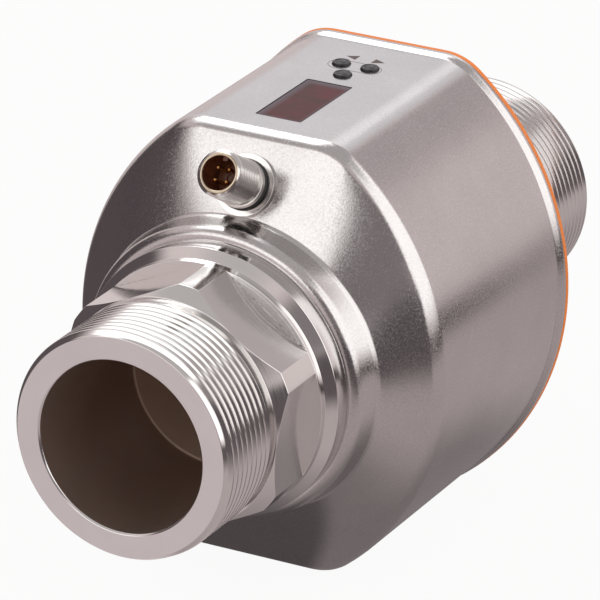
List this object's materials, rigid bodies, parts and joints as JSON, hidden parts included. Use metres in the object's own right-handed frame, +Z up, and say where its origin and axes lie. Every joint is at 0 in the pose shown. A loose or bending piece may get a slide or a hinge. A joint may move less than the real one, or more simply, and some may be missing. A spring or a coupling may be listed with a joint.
{
  "type": "magnetic flow sensor",
  "caption": "In-line magnetic flow sensor with a barrel-shaped steel housing, threaded pipe ends, display window, push keys and a round plug connector.",
  "frame": {"origin": "on the flow axis, halfway between the two end faces", "axes": "+Y along the flow from inlet to outlet, +Z up through the display, +X to the right seen from the inlet"},
  "size_m": [0.1044, 0.2, 0.1186],
  "materials": {
    "turned_steel": "bright turned stainless steel with fine feed lines",
    "drawn_steel": "bead-blasted deep-drawn stainless steel",
    "liner_plastic": "natural light brown technical plastic",
    "orange_seal": "matt orange elastomer",
    "black_seal": "matt black elastomer",
    "electrode_metal": "ground stainless steel",
    "soft_iron": "annealed soft iron",
    "coil_wire": "enamelled copper wire",
    "bobbin_plastic": "black moulded plastic",
    "plated_steel": "zinc-plated steel",
    "board_laminate": "green solder-resist laminate",
    "carrier_plastic": "dark moulded plastic",
    "window_plastic": "tinted clear plastic",
    "display_plastic": "dark display body",
    "key_rubber": "dark grey silicone",
    "switch_plastic": "black switch body",
    "plug_metal": "turned nickel-bright metal",
    "plug_core": "dark brown insulating core",
    "contact_gold": "gold-plated contacts"
  },
  "bodies": {
    "sensor": {"inlet_fitting": "turned_steel", "outlet_fitting": "turned_steel", "measuring_tube": "liner_plastic", "inlet_tube_seal": "black_seal", "outlet_tube_seal": "black_seal", "left_electrode": "electrode_metal", "right_electrode": "electrode_metal", "electrode_nuts": "plated_steel", "temperature_probe": "electrode_metal", "upper_pole_piece": "soft_iron", "lower_pole_piece": "soft_iron", "upper_bobbin": "bobbin_plastic", "lower_bobbin": "bobbin_plastic", "upper_coil": "coil_wire", "lower_coil": "coil_wire", "flux_yoke": "soft_iron", "tie_rods": "plated_steel", "inlet_neck_seal": "black_seal", "outlet_neck_seal": "black_seal", "inlet_clamp_ring": "plated_steel", "outlet_clamp_ring": "plated_steel", "housing_shell": "drawn_steel", "rear_cover": "drawn_steel", "cover_seal": "orange_seal", "display_window": "window_plastic", "window_gasket": "black_seal", "display_module": "display_plastic", "keypad_mat": "key_rubber", "key_switches": "switch_plastic", "display_board": "board_laminate", "board_carrier": "carrier_plastic", "main_board": "board_laminate", "board_screws": "plated_steel", "connector_body": "plug_metal", "connector_insert": "plug_core", "contact_pins": "contact_gold", "connector_seal": "black_seal", "connector_nut": "plated_steel"},
    "left_key": {"left_key": "key_rubber"},
    "right_key": {"right_key": "key_rubber"},
    "enter_key": {"enter_key": "key_rubber"}
  },
  "joints": [
    {"name": "left_key_press", "type": "slide", "parent": "sensor", "child": "left_key", "axis": [0, 0, -1], "range_m": [0, 0.0006], "stiffness_N_per_m": 1500},
    {"name": "right_key_press", "type": "slide", "parent": "sensor", "child": "right_key", "axis": [0, 0, -1], "range_m": [0, 0.0006], "stiffness_N_per_m": 1500},
    {"name": "enter_key_press", "type": "slide", "parent": "sensor", "child": "enter_key", "axis": [0, 0, -1], "range_m": [0, 0.0006], "stiffness_N_per_m": 1500}
  ]
}
